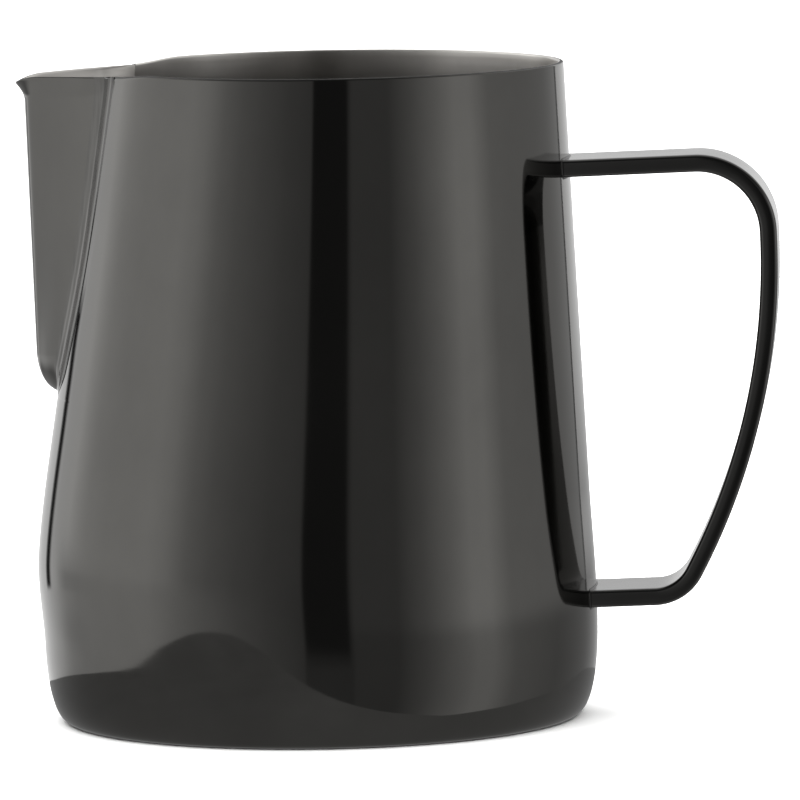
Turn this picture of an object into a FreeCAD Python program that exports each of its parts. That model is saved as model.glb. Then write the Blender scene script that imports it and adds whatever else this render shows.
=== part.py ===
import FreeCAD, Part
import Sketcher
import math
import os

# Milk frothing pitcher: a drawn steel cup, a formed pouring spout welded over a notch in the cup,
# and a bent flat-bar handle welded on at two feet.
# +Z is up, the origin is on the cup's axis in the resting plane, +X points at the handle, the spout is at -X.

Vector = FreeCAD.Vector
doc = FreeCAD.newDocument("milk_pitcher")

sheet = doc.addObject("Spreadsheet::Sheet", "sizes")
SIZES = [
    ("cup_height", 108.0),
    ("wall", 1.0),
    ("base_radius", 41.7),
    ("belly_radius", 45.8),
    ("belly_height", 15.3),
    ("corner_power", 2.3),
    ("cone_start_height", 38.0),
    ("cone_start_radius", 44.7),
    ("rim_radius", 41.65),
    ("rim_edge_round", 0.38),
    ("lean_start_height", 12.0),
    ("bulge_height", 27.5),
    ("bulge_depth", 1.25),
    ("lean_mid_height", 50.0),
    ("lean_mid", 0.6),
    ("lean_mid_slope", 0.11),
    ("lean_rim", 6.2),
    ("lean_rim_slope", 0.08),
    ("lean_softness", 0.35),
    ("panel_radius", 35.5),
    ("panel_draft", 1.0),
    ("panel_depth", 0.9),
    ("spout_toe_height", 54.6),
    ("spout_half_width", 17.9),
    ("seam_power", 2.4),
    ("seam_root", 3.2),
    ("keel_top", 47.8),
    ("keel_slope", 0.0275),
    ("toe_rise", 6.6),
    ("toe_reach", 3.5),
    ("nose_radius_top", 7.0),
    ("nose_radius_toe", 5.0),
    ("flank_bulge", 0.8),
    ("flare_height", 3.3),
    ("flare_nose", 1.7),
    ("flare_flank", 0.8),
    ("lip_height", 107.35),
    ("lip_fall", 0.6),
    ("tip_drop", 1.0),
    ("tip_drop_length", 4.2),
    ("spout_bead_reach", 0.7),
    ("bead_height", 0.7),
    ("strap_thickness", 2.85),
    ("strap_width", 17.2),
    ("strap_edge_round", 0.7),
    ("foot_x", 40.0),
    ("upper_foot_height", 90.75),
    ("upper_rise_angle", 1.8),
    ("upper_run", 23.0),
    ("upper_bend_radius", 11.65),
    ("upper_bend_angle", 89.4),
    ("grip_radius", 109.3),
    ("grip_angle", 30.6),
    ("lower_bend_radius", 7.5),
    ("lower_bend_angle", 60.2),
    ("lower_run", 16.0),
    ("foot_bead_reach", 0.6),
]
for row, (alias, value) in enumerate(SIZES, start=1):
    sheet.set("A%d" % row, alias)
    sheet.set("B%d" % row, str(value))
    sheet.setAlias("B%d" % row, alias)
doc.recompute()


def size(alias):
    return float(sheet.get(alias))


# ---------------------------------------------------------------- cup form

def hermite(start, end, slope_start, slope_end, length, along):
    """Cubic between two heights, with the slope given at each end."""
    t = along / length
    blend_start = 2 * t ** 3 - 3 * t ** 2 + 1
    blend_end = 3 * t ** 2 - 2 * t ** 3
    bend_start = t ** 3 - 2 * t ** 2 + t
    bend_end = t ** 3 - t ** 2
    return (blend_start * start + blend_end * end
            + length * (bend_start * slope_start + bend_end * slope_end))


def cone_slope():
    return (size("rim_radius") - size("cone_start_radius")) / (size("cup_height") - size("cone_start_height"))


def wall_radius(height):
    """Outer radius of the round cup, before the spout side is drawn in."""
    belly_height = size("belly_height")
    if height <= belly_height:
        power = size("corner_power")
        fraction = (belly_height - height) / belly_height
        bow = (1 - fraction ** power) ** (1 / power)
        return size("base_radius") + (size("belly_radius") - size("base_radius")) * bow
    start = size("cone_start_height")
    if height < start:
        return hermite(size("belly_radius"), size("cone_start_radius"), 0, cone_slope(),
                       start - belly_height, height - belly_height)
    return size("cone_start_radius") + cone_slope() * (height - start)


def lean(height):
    """How far the wall under and beside the spout is drawn in; negative where it bulges."""
    start = size("lean_start_height")
    bulge = size("bulge_height")
    middle = size("lean_mid_height")
    if height <= start:
        return 0.0
    if height <= bulge:
        return hermite(0, -size("bulge_depth"), 0, 0, bulge - start, height - start)
    if height <= middle:
        return hermite(-size("bulge_depth"), size("lean_mid"), 0, size("lean_mid_slope"),
                       middle - bulge, height - bulge)
    return hermite(size("lean_mid"), size("lean_rim"), size("lean_mid_slope"), size("lean_rim_slope"),
                   size("cup_height") - middle, height - middle)


def spout_side(toward_spout):
    """Weight of the lean: about 1 at the spout, fading smoothly to 0 past the cup's sides."""
    softness = size("lean_softness")
    return 0.5 * (toward_spout + math.sqrt(toward_spout ** 2 + softness ** 2))


def surface_radius(height, angle):
    return wall_radius(height) - lean(height) * spout_side(-math.cos(angle))


def cup_stations():
    """Profile stations (radius, height, outward normal) from the base edge up past the rim."""
    corner_steps = 8
    power = size("corner_power")
    belly_height = size("belly_height")
    bow = size("belly_radius") - size("base_radius")
    stations = []
    for step in range(corner_steps + 1):
        angle = math.radians(90.0 * step / corner_steps)
        radius = size("base_radius") + bow * math.sin(angle) ** (2 / power)
        height = belly_height * (1 - math.cos(angle) ** (2 / power))
        stations.append((radius, height))
    upper_count = 12
    top = size("cup_height") - size("rim_edge_round")
    for step in range(1, upper_count + 1):
        height = belly_height + (top - belly_height) * step / upper_count
        stations.append((wall_radius(height), height))
    with_normals = []
    last = len(stations) - 1
    for index, (radius, height) in enumerate(stations):
        if index == 0:
            normal = (0.0, -1.0)
        else:
            before = stations[index - 1]
            after = stations[min(index + 1, last)]
            rise = after[1] - before[1]
            run = after[0] - before[0]
            length = math.hypot(rise, run)
            normal = (rise / length, -run / length)
        with_normals.append((radius, height, normal))
    return with_normals


def ring_wire(radius, height, lean_height, inset):
    """Closed smooth ring at one height of the cup."""
    points = []
    count = 40
    for index in range(count):
        angle = 2 * math.pi * index / count
        reach = radius - inset - lean(lean_height) * spout_side(-math.cos(angle))
        points.append(Vector(reach * math.cos(angle), reach * math.sin(angle), height))
    curve = Part.BSplineCurve()
    curve.interpolate(Points=points, PeriodicFlag=True)
    return Part.Wire([curve.toShape()])


def rim_rings(side, inset):
    """Rings that round one edge of the rim; side is 1 for the outer edge and -1 for the inner."""
    edge_round = size("rim_edge_round")
    height = size("cup_height")
    base_height = height - edge_round
    rings = []
    steps = 4
    for step in range(steps + 1):
        angle = math.radians(90.0 * step / steps)
        level = base_height + edge_round * math.sin(angle)
        shift = side * edge_round * (1 - math.cos(angle))
        rings.append(ring_wire(wall_radius(base_height), level, base_height, inset + shift))
    return rings


def cup_outer_solid():
    rings = [ring_wire(radius, height, height, 0.0) for radius, height, _normal in cup_stations()]
    wall_part = Part.makeLoft(rings, True)
    rim_part = Part.makeLoft(rim_rings(1, 0.0), True, True)
    return wall_part.fuse(rim_part)


def cup_tool_solid(growth):
    """The cup's outer form, grown by an allowance and carried on above the rim, for trimming."""
    rings = [ring_wire(radius, height, height, -growth) for radius, height, _normal in cup_stations()]
    top = size("cup_height") + 4.0
    rings.append(ring_wire(wall_radius(top), top, size("cup_height"), -growth))
    return Part.makeLoft(rings, True)


def cup_inner_solid():
    wall = size("wall")
    rings = []
    for radius, height, normal in cup_stations():
        rings.append(ring_wire(radius - wall * normal[0], height - wall * normal[1], height, 0.0))
    top = size("cup_height") - size("rim_edge_round")
    last_radius = cup_stations()[-1][0]
    rings[-1] = ring_wire(last_radius, top, top, wall)
    wall_part = Part.makeLoft(rings, True)
    rims = rim_rings(-1, wall)
    over_rim = size("cup_height") + 2.0
    rims.append(ring_wire(wall_radius(top), over_rim, top, wall - size("rim_edge_round")))
    rim_part = Part.makeLoft(rims, True, True)
    return wall_part.fuse(rim_part)


# ---------------------------------------------------------------- spout form

def seam_half_width(height):
    toe = size("spout_toe_height")
    drop = (size("cup_height") - height) / (size("cup_height") - toe)
    drop = min(max(drop, 0.0), 1.0)
    return size("spout_half_width") * (1 - drop ** size("seam_power")) ** (1 / size("seam_root"))


def seam_point(height):
    """Point of the cup's outer wall at the seam's half width (the +Y seam)."""
    level = min(height, size("cup_height"))
    half_width = seam_half_width(level)
    angle = math.pi - 0.3
    for _ in range(40):
        radius = surface_radius(level, angle)
        angle = math.pi - math.asin(half_width / radius)
    radius = surface_radius(level, angle)
    return Vector(radius * math.cos(angle), half_width, height)


def keel_reach(height):
    """Distance of the spout's front edge from the cup's axis."""
    toe = size("spout_toe_height")
    straight = size("keel_top") - size("keel_slope") * (size("cup_height") - height)
    above = height - toe
    if above >= size("toe_rise"):
        return straight
    fraction = (size("toe_rise") - above) / size("toe_rise")
    return straight - size("toe_reach") * (1 - math.sqrt(max(0.0, 1 - fraction ** 2)))


def lip_level(x):
    """Height of the pouring lip over a point at this x."""
    junction_x = -31.5
    span = size("keel_top") + junction_x
    along = min(max((junction_x - x) / span, 0.0), 1.2)
    level = size("lip_height") - size("lip_fall") * along
    tip_start = -(size("keel_top") + size("flare_nose")) + size("tip_drop_length")
    if x < tip_start:
        level -= size("tip_drop") * ((tip_start - x) / size("tip_drop_length")) ** 2
    return level


def flare(height, x, around):
    """Outward roll of the lip; around runs from 0 at the seam to 1 at the nose."""
    start = lip_level(x) - size("flare_height")
    if height <= start:
        return 0.0
    amount = size("flare_flank") + (size("flare_nose") - size("flare_flank")) * around ** 3
    fade_in = min(1.0, around * 4.0)
    return amount * fade_in * ((height - start) / size("flare_height")) ** 2


def spout_half_points(height, inset):
    """Half of a level section, from inside the cup at the seam round to the nose."""
    toe = size("spout_toe_height")
    upness = min(max((height - toe) / (size("cup_height") - toe), 0.0), 1.0)
    nose_radius = size("nose_radius_toe") + (size("nose_radius_top") - size("nose_radius_toe")) * upness
    centre = Vector(-(keel_reach(height) - nose_radius), 0, height)
    seam = seam_point(height)
    to_seam = seam - centre
    distance = to_seam.Length
    seam_angle = math.atan2(to_seam.y, to_seam.x)
    tangent_angle = seam_angle + math.acos(min(1.0, nose_radius / distance))
    touch = centre + Vector(math.cos(tangent_angle), math.sin(tangent_angle), 0) * nose_radius
    chord = touch - seam
    along = Vector(chord).normalize()
    outward = Vector(along.y, -along.x, 0)
    if outward.y < 0:
        outward = outward * -1.0
    bulge = size("flank_bulge") * min(1.0, chord.Length / 14.0)
    points = []
    inner_reach = 7.0
    points.append(seam - along * inner_reach - outward * inset)
    points.append(seam - along * (inner_reach / 2) - outward * inset)
    flank_steps = 6
    for step in range(flank_steps):
        t = step / flank_steps
        swell = bulge * 4 * t * (1 - t)
        base = seam + chord * t
        roll = flare(height, base.x, 0.75 * t)
        points.append(base + outward * (swell + roll - inset))
    nose_steps = 5
    for step in range(nose_steps + 1):
        t = step / nose_steps
        angle = tangent_angle + (math.pi - tangent_angle) * t
        direction = Vector(math.cos(angle), math.sin(angle), 0)
        base = centre + direction * nose_radius
        roll = flare(height, base.x, 0.75 + 0.25 * t)
        points.append(base + direction * (roll - inset))
    return points


def spout_wire(height, inset, lift):
    half = spout_half_points(height, inset)
    points = [Vector(p.x, p.y, height + lift) for p in half]
    mirrored = [Vector(p.x, -p.y, height + lift) for p in reversed(half[:-1])]
    outline = points + mirrored
    curve = Part.BSplineCurve()
    curve.interpolate(outline)
    closing = Part.makeLine(outline[-1], outline[0])
    return Part.Wire([curve.toShape(), closing])


def spout_levels(lowest):
    rise = size("toe_rise")
    toe = size("spout_toe_height")
    levels = [lowest, toe + 0.9, toe + 2.0, toe + 3.8, toe + rise]
    for height in (66, 74, 84, 94, 101):
        levels.append(float(height))
    for height in (104.0, 105.3, 106.4, 107.4, 108.4):
        levels.append(height)
    return levels


def spout_form(inset):
    """Closed spout form; inset 0 is the outer skin, the wall gives the channel, negative grows it."""
    toe = size("spout_toe_height")
    fade = 12.0
    wires = []
    for level in spout_levels(toe + 0.3):
        lift = inset * max(0.0, 1 - (level - toe - 0.3) / fade)
        wires.append(spout_wire(level, inset, lift))
    if inset > 0:
        wires.append(spout_wire(size("cup_height") + 2.0, inset, 0.0))
    return Part.makeLoft(wires, True)


def above_lip_solid():
    """Everything above the pouring lip, as one block with a curved underside."""
    half_depth = 40.0
    top = size("cup_height") + 6.0
    points = []
    for step in range(13):
        x = -56.0 + 32.0 * step / 12
        points.append(Vector(x, -half_depth, lip_level(x)))
    curve = Part.BSplineCurve()
    curve.interpolate(points)
    first = points[0]
    last = points[-1]
    corner_last = Vector(last.x, -half_depth, top)
    corner_first = Vector(first.x, -half_depth, top)
    outline = Part.Wire([curve.toShape(), Part.makeLine(last, corner_last),
                         Part.makeLine(corner_last, corner_first), Part.makeLine(corner_first, first)])
    return Part.Face(outline).extrude(Vector(0, 2 * half_depth, 0))


# ---------------------------------------------------------------- cup body

def make_part_feature(name, shape):
    item = doc.addObject("Part::Feature", name)
    item.Label = name
    item.Shape = shape
    item.Placement = FreeCAD.Placement(Vector(0, 0, 0), FreeCAD.Rotation(Vector(0, 0, 1), 0))
    return item


cup_outer = cup_outer_solid()
cup_outer_tall = cup_tool_solid(0.0)
cup_grown = cup_tool_solid(size("bead_height"))
cup_inner = cup_inner_solid()
spout_outer = spout_form(0.0)
spout_inner = spout_form(size("wall"))
spout_grown = spout_form(-size("spout_bead_reach"))

outer_form = make_part_feature("cup_outer_form", cup_outer)
inner_form = make_part_feature("cup_inner_form", cup_inner)

drawn_cup = doc.addObject("Part::Cut", "drawn_cup")
drawn_cup.Base = outer_form
drawn_cup.Tool = inner_form

panel_outside = doc.addObject("Part::Cone", "panel_outside")
panel_outside.setExpression("Radius1", "sizes.panel_radius")
panel_outside.setExpression("Radius2", "sizes.panel_radius - sizes.panel_draft")
panel_outside.setExpression("Height", "sizes.panel_depth")

panel_inside = doc.addObject("Part::Cone", "panel_inside")
panel_inside.setExpression("Radius1", "sizes.panel_radius + sizes.wall")
panel_inside.setExpression("Radius2", "sizes.panel_radius - sizes.panel_draft + sizes.wall")
panel_inside.setExpression("Height", "sizes.panel_depth")
panel_inside.setExpression("Placement.Base.z", "sizes.wall")
doc.recompute()

raised_floor = doc.addObject("Part::Fuse", "raised_floor")
raised_floor.Base = drawn_cup
raised_floor.Tool = panel_inside

pressed_cup = doc.addObject("Part::Cut", "pressed_cup")
pressed_cup.Base = raised_floor
pressed_cup.Tool = panel_outside
doc.recompute()


notch_form = make_part_feature("notch_form", spout_inner)
body_shell = doc.addObject("Part::Cut", "body_shell")
body_shell.Base = pressed_cup
body_shell.Tool = notch_form
body_shell.Label = "body_shell"
doc.recompute()

# ---------------------------------------------------------------- spout

spout_skin = spout_outer.cut(spout_inner)
spout_skin = spout_skin.cut(cup_outer_tall)
spout_skin = spout_skin.cut(above_lip_solid())
spout_solids = sorted(spout_skin.Solids, key=lambda solid: solid.Volume)
spout = make_part_feature("spout", spout_solids[-1])
doc.recompute()


grown_cup = make_part_feature("grown_cup", cup_grown)
cup_tool = make_part_feature("cup_tool", cup_outer_tall)
seam_bead = spout_grown.common(cup_grown)
seam_bead = seam_bead.cut(cup_outer_tall)
seam_bead = seam_bead.cut(spout_outer)
seam_bead = seam_bead.cut(above_lip_solid())
bead_solids = sorted(seam_bead.Solids, key=lambda solid: solid.Volume)
spout_weld = make_part_feature("spout_weld", bead_solids[-1])
doc.recompute()

# ---------------------------------------------------------------- handle


def origin_plane(body, role):
    for item in body.Origin.OriginFeatures:
        if item.Role == role:
            return item
    return None


handle_bar = doc.addObject("PartDesign::Body", "handle_bar")
strap_sketch = handle_bar.newObject("Sketcher::SketchObject", "strap_outline")
strap_sketch.AttachmentSupport = [(origin_plane(handle_bar, "XZ_Plane"), "")]
strap_sketch.MapMode = "FlatFace"


def strap_segments():
    """Centre line of the bent strap as (kind, start, end, centre, radius, start angle, end angle)."""
    heading = math.radians(size("upper_rise_angle"))
    at = Vector(size("foot_x"), size("upper_foot_height"), 0)
    segments = []

    def run(start, direction, length):
        end = start + Vector(math.cos(direction), math.sin(direction), 0) * length
        segments.append(("line", start, end, direction))
        return end

    def bend(start, direction, radius, turn):
        centre = start + Vector(math.sin(direction), -math.cos(direction), 0) * radius
        after = direction - turn
        end = centre + Vector(-math.sin(after), math.cos(after), 0) * radius
        segments.append(("arc", start, end, centre, radius, direction, after))
        return end, after

    at = run(at, heading, size("upper_run"))
    for radius_name, angle_name in (("upper_bend_radius", "upper_bend_angle"),
                                    ("grip_radius", "grip_angle"),
                                    ("lower_bend_radius", "lower_bend_angle")):
        at, heading = bend(at, heading, size(radius_name), math.radians(size(angle_name)))
    run(at, heading, size("lower_run"))
    return segments


def offset_end(point, direction, distance):
    return point + Vector(-math.sin(direction), math.cos(direction), 0) * distance


def draw_strap(sketch):
    half = size("strap_thickness") / 2
    segments = strap_segments()
    ids = {"outer": [], "inner": []}
    for side, distance in (("outer", half), ("inner", -half)):
        for segment in segments:
            if segment[0] == "line":
                _kind, start, end, direction = segment
                line = Part.LineSegment(offset_end(start, direction, distance),
                                        offset_end(end, direction, distance))
                ids[side].append(sketch.addGeometry(line, False))
            else:
                _kind, start, end, centre, radius, before, after = segment
                circle = Part.Circle(centre, Vector(0, 0, 1), radius + distance)
                arc = Part.ArcOfCircle(circle, after + math.pi / 2, before + math.pi / 2)
                ids[side].append(sketch.addGeometry(arc, False))
    first = segments[0]
    last = segments[-1]
    caps = []
    for segment, which in ((first, 1), (last, 2)):
        start = offset_end(segment[which], segment[3], half)
        end = offset_end(segment[which], segment[3], -half)
        caps.append(sketch.addGeometry(Part.LineSegment(start, end), False))
    return ids, caps


strap_ids, strap_caps = draw_strap(strap_sketch)
for side in ("outer", "inner"):
    chain = strap_ids[side]
    for number in range(len(chain) - 1):
        # A clockwise arc starts, in the sketch's sense, at its far end.
        here_end = 2 if number == 0 else 1
        next_start = 1 if number + 1 == len(chain) - 1 else 2
        strap_sketch.addConstraint(Sketcher.Constraint("Coincident", chain[number], here_end,
                                                       chain[number + 1], next_start))
for cap, which in ((strap_caps[0], 0), (strap_caps[1], -1)):
    end = 1 if which == 0 else 2
    strap_sketch.addConstraint(Sketcher.Constraint("Coincident", cap, 1, strap_ids["outer"][which], end))
    strap_sketch.addConstraint(Sketcher.Constraint("Coincident", cap, 2, strap_ids["inner"][which], end))
doc.recompute()

strap_pad = handle_bar.newObject("PartDesign::Pad", "strap_pad")
strap_pad.Profile = strap_sketch
strap_pad.Midplane = True
strap_pad.setExpression("Length", "sizes.strap_width")
doc.recompute()


def long_edges(shape):
    """The strap's four long corners: every edge that lies in one of its two side faces, ends apart."""
    half_width = size("strap_width") / 2
    names = []
    foot_x = size("foot_x")
    for number, edge in enumerate(shape.Edges, start=1):
        box = edge.BoundBox
        flat = abs(box.YMax - box.YMin) < 1e-4 and abs(abs(box.YMax) - half_width) < 1e-4
        short_end = edge.Length < size("strap_thickness") + 0.01 and box.XMax < foot_x + 8.0
        if flat and not short_end:
            names.append("Edge%d" % number)
    return names


strap_round = handle_bar.newObject("PartDesign::Fillet", "strap_round")
strap_round.Base = (strap_pad, long_edges(strap_pad.Shape))
strap_round.setExpression("Radius", "sizes.strap_edge_round")
doc.recompute()

handle = doc.addObject("Part::Cut", "handle")
handle.Base = handle_bar
handle.Tool = cup_tool
handle.Label = "handle"
doc.recompute()


# Each foot bead: a rounded frame round the strap, as thick as the bead stands off the wall.
def foot_weld(name, foot_height):
    block = doc.addObject("Part::Box", name + "_block")
    block.setExpression("Length", "sizes.foot_x - 20")
    block.setExpression("Width", "sizes.strap_width + 2 * sizes.foot_bead_reach")
    block.setExpression("Height", "sizes.strap_thickness + 2 * sizes.foot_bead_reach")
    corner = Vector(30, -size("strap_width") / 2, foot_height - size("strap_thickness") / 2)
    reach = size("foot_bead_reach")
    block.Placement = FreeCAD.Placement(corner - Vector(0, reach, reach), FreeCAD.Rotation())
    doc.recompute()
    rounded = doc.addObject("Part::Fillet", name + "_rounded")
    rounded.Base = block
    corner_round = size("strap_edge_round") + reach
    corners = []
    for number, edge in enumerate(block.Shape.Edges, start=1):
        if edge.BoundBox.XLength > 1.0:
            corners.append((number, corner_round, corner_round))
    rounded.Edges = corners
    near_wall = doc.addObject("Part::Common", name + "_near_wall")
    near_wall.Base = rounded
    near_wall.Tool = grown_cup
    off_wall = doc.addObject("Part::Cut", name + "_off_wall")
    off_wall.Base = near_wall
    off_wall.Tool = cup_tool
    weld = doc.addObject("Part::Cut", name)
    weld.Base = off_wall
    weld.Tool = handle_bar
    weld.Label = name
    doc.recompute()
    return weld


def strap_height_at(segment, x):
    """Height of the strap's centre line, over x, on one of its straight ends."""
    start = segment[1]
    direction = segment[3]
    return start.y + math.tan(direction) * (x - start.x)


feet = strap_segments()
upper_centre = strap_height_at(feet[0], 42.5)
lower_centre = strap_height_at(feet[-1], 46.0)
handle_weld_upper = foot_weld("handle_weld_upper", upper_centre)
handle_weld_lower = foot_weld("handle_weld_lower", lower_centre)

# ---------------------------------------------------------------- checks and files

for item in doc.Objects:
    if "Invalid" in item.State or "Error" in item.State:
        raise RuntimeError("feature failed: " + item.Name + " " + str(item.State))

os.makedirs("parts", exist_ok=True)
NODES = ["body_shell", "spout", "spout_weld", "handle", "handle_weld_upper", "handle_weld_lower"]
for node in NODES:
    shape = doc.getObject(node).Shape
    if shape.isNull() or not shape.isValid() or not shape.Solids:
        raise RuntimeError("bad shape: " + node)
    shape.exportStep(os.path.join("parts", node + ".step"))
    box = shape.BoundBox
    print("%-18s solids %d volume %10.2f x %.2f..%.2f y %.2f..%.2f z %.2f..%.2f" % (
        node, len(shape.Solids), shape.Volume, box.XMin, box.XMax, box.YMin, box.YMax, box.ZMin, box.ZMax))
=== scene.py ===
import math

import bmesh
import bpy
import numpy as np
from mathutils import Matrix, Vector


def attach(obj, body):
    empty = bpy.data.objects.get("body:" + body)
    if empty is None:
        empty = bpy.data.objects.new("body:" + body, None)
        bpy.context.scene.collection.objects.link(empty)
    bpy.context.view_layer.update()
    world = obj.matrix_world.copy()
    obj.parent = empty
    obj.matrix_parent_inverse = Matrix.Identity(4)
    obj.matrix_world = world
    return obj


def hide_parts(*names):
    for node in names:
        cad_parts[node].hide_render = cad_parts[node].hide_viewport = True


# A milk frothing pitcher: a spun cup, a folded V spout, a bent flat-bar handle and the welds between them.
# Forms are worked out in millimetres, in the frame of the CAD: +Z up, the handle at +X, the spout at -X.

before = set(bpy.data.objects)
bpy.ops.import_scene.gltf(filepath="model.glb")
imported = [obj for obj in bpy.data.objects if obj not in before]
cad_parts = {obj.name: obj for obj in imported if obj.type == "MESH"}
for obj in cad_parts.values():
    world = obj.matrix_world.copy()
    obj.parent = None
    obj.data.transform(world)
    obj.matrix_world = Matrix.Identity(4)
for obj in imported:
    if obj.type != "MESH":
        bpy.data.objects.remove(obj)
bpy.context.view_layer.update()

MM = 0.001

# ------------------------------------------------------------------ sizes, in millimetres
# Cup: a round corner at the base, a belly, a shoulder and a straight cone up to the rolled rim.
CUP_HEIGHT = 108.0
WALL = 1.0
BASE_RADIUS = 41.7
BELLY_RADIUS, BELLY_HEIGHT = 45.8, 15.3
CORNER_POWER = 2.3
CONE_RADIUS, CONE_HEIGHT = 44.7, 38.0
RIM_RADIUS, RIM_ROUND = 41.65, 0.38
PANEL_RADIUS, PANEL_DRAFT, PANEL_DEPTH = 35.5, 1.0, 0.9

# The spout side of the cup bulges a little low down and is drawn in towards the rim.
LEAN_START = 12.0
BULGE_HEIGHT, BULGE_DEPTH = 27.5, 1.25
LEAN_MID_HEIGHT, LEAN_MID, LEAN_MID_SLOPE = 50.0, 0.6, 0.11
LEAN_RIM, LEAN_RIM_SLOPE = 6.2, 0.08
LEAN_SOFTNESS = 0.35

# Beside the spout's weld the rim sinks and the wall is pinched in.
RIM_SETTLE, SETTLE_REACH, SETTLE_HEIGHT = 0.6, 14.0, 10.0
PINCH_REACH, PINCH_SLOPE = 6.0, 0.114
PINCH_START, PINCH_RISE = 7.0, 18.0

# Spout: where its seam runs on the cup, the keel at its nose, and the pouring lip.
TOE_HEIGHT = 54.6
SEAM_HALF_WIDTH, SEAM_POWER, SEAM_ROOT = 17.30, 1.30, 4.10
KEEL_TOP, KEEL_SLOPE = 47.8, 0.0275
TOE_RISE, TOE_REACH = 6.6, 3.5
NOSE_TOP, NOSE_TOE = 7.0, 5.0
FLANK_BULGE, BULGE_CHORD, BULGE_NOSE_SHARE = 0.3, 14.0, 0.6
FLARE_HEIGHT, FLARE_NOSE, FLARE_FLANK, FLARE_ONSET = 3.3, 1.7, 0.8, 0.25
LIP_HEIGHT, LIP_FALL, LIP_FOLLOW_START = 107.35, 0.6, 92.0
TIP_DROP, TIP_DROP_LENGTH = 1.0, 4.2
JUNCTION_X = -31.5

# Weld round the spout: its reach on each side of the seam, slimmer at the toe and up the cup's side.
WELD_BODY_SIDE, WELD_SPOUT_SIDE = 2.6, 3.5
WELD_TOE_SHARE, WELD_TOE_REACH = 0.28, 5.0
SLIM_HEIGHTS, SLIM_SHARE = (57.0, 95.0), 0.66
INNER_TOE_REACH, INNER_TOE_LIFT = 0.4, 12.0
SKIN_GAP = 0.04

# Slope of the dressed weld across its width, in degrees, from the cup's wall (0) to the spout's flank (1).
WELD_SLOPES = ((0.0, 0), (0.08, -4), (0.20, -8), (0.28, -4), (0.36, 8), (0.44, 14), (0.52, 6), (0.60, -10),
               (0.66, -2), (0.71, 4), (0.76, -2), (0.83, -8), (0.92, 3), (1.0, 0))
# The weld's groove beside the cup and its middle valley carry painted shade; these are their shares of its
# width.
GROOVE_SHARE, VALLEY_SHARES = 0.19, (0.41, 0.58)
LEAN_LIMIT = 0.6
FULL_SLOPE_WIDTH = 3.0
RIM_SLOPE_SHARE, RIM_SLOPE_REACH, RIM_SLOPE_SIDE = 0.45, 22.0, 0.45
NEAR_NOTCH, NOTCH_PLACE, NOTCH_WIDTH = 0.3, 0.45, 0.14
FAR_DIP = 0.15

# Handle: a flat bar, straight at both ends, with three bends given as (radius, turn in degrees, steps).
STRAP_THICKNESS, STRAP_WIDTH, STRAP_ROUND = 2.85, 17.2, 0.6
STRAP_CROWN, STRAP_SINK = 0.055, 0.55
FOOT_X, UPPER_FOOT_HEIGHT = 40.0, 90.75
UPPER_ANGLE, UPPER_RUN, LOWER_RUN = 1.8, 23.0, 16.0
BENDS = ((11.65, 89.4, 40), (109.3, 30.6, 60), (7.5, 60.2, 30))
FOOT_FILLET = 0.35


# ------------------------------------------------------------------ small sums
def eased(share):
    """Smooth step: a share from 0 to 1 that starts and ends gently."""
    return share * share * (3 - 2 * share)


def unit(vectors):
    return vectors / np.linalg.norm(vectors, axis=-1, keepdims=True)


def hermite(start, end, slope_start, slope_end, length, along):
    """Cubic between two values with given slopes, at this distance along its length."""
    t = along / length
    return ((2 * t ** 3 - 3 * t ** 2 + 1) * start + (3 * t ** 2 - 2 * t ** 3) * end
            + length * ((t ** 3 - 2 * t ** 2 + t) * slope_start + (t ** 3 - t ** 2) * slope_end))


# ------------------------------------------------------------------ cup form
CONE_SLOPE = (RIM_RADIUS - CONE_RADIUS) / (CUP_HEIGHT - CONE_HEIGHT)


def wall_radius(z):
    """Outer radius of the round cup, before its spout side is drawn in."""
    z = np.asarray(z, float)
    fraction = np.clip((BELLY_HEIGHT - z) / BELLY_HEIGHT, 0, 1)
    curve = (1 - fraction ** CORNER_POWER) ** (1 / CORNER_POWER)
    corner = BASE_RADIUS + (BELLY_RADIUS - BASE_RADIUS) * curve
    shoulder = hermite(BELLY_RADIUS, CONE_RADIUS, 0, CONE_SLOPE, CONE_HEIGHT - BELLY_HEIGHT, z - BELLY_HEIGHT)
    cone = CONE_RADIUS + CONE_SLOPE * (z - CONE_HEIGHT)
    return np.where(z <= BELLY_HEIGHT, corner, np.where(z < CONE_HEIGHT, shoulder, cone))


def lean(z):
    """How far the wall on the spout side is drawn in; negative where it bulges."""
    z = np.asarray(z, float)
    low = hermite(0, -BULGE_DEPTH, 0, 0, BULGE_HEIGHT - LEAN_START, z - LEAN_START)
    middle = hermite(-BULGE_DEPTH, LEAN_MID, 0, LEAN_MID_SLOPE,
                     LEAN_MID_HEIGHT - BULGE_HEIGHT, z - BULGE_HEIGHT)
    high = hermite(LEAN_MID, LEAN_RIM, LEAN_MID_SLOPE, LEAN_RIM_SLOPE,
                   CUP_HEIGHT - LEAN_MID_HEIGHT, z - LEAN_MID_HEIGHT)
    above = np.where(z <= LEAN_MID_HEIGHT, middle, high)
    return np.where(z <= LEAN_START, 0.0, np.where(z <= BULGE_HEIGHT, low, above))


def spout_side(toward_spout):
    """Share of the lean in a direction: its cosine towards the spout, fading to nothing at the sides."""
    return 0.5 * (toward_spout + np.sqrt(toward_spout ** 2 + LEAN_SOFTNESS ** 2))


def seam_half_width(z):
    """Distance of the spout's seam from the middle plane, widest at the rim and nothing at the toe."""
    drop = np.clip((CUP_HEIGHT - z) / (CUP_HEIGHT - TOE_HEIGHT), 0, 1)
    return SEAM_HALF_WIDTH * np.clip(1 - drop ** SEAM_POWER, 0, 1) ** (1 / SEAM_ROOT)


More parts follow.
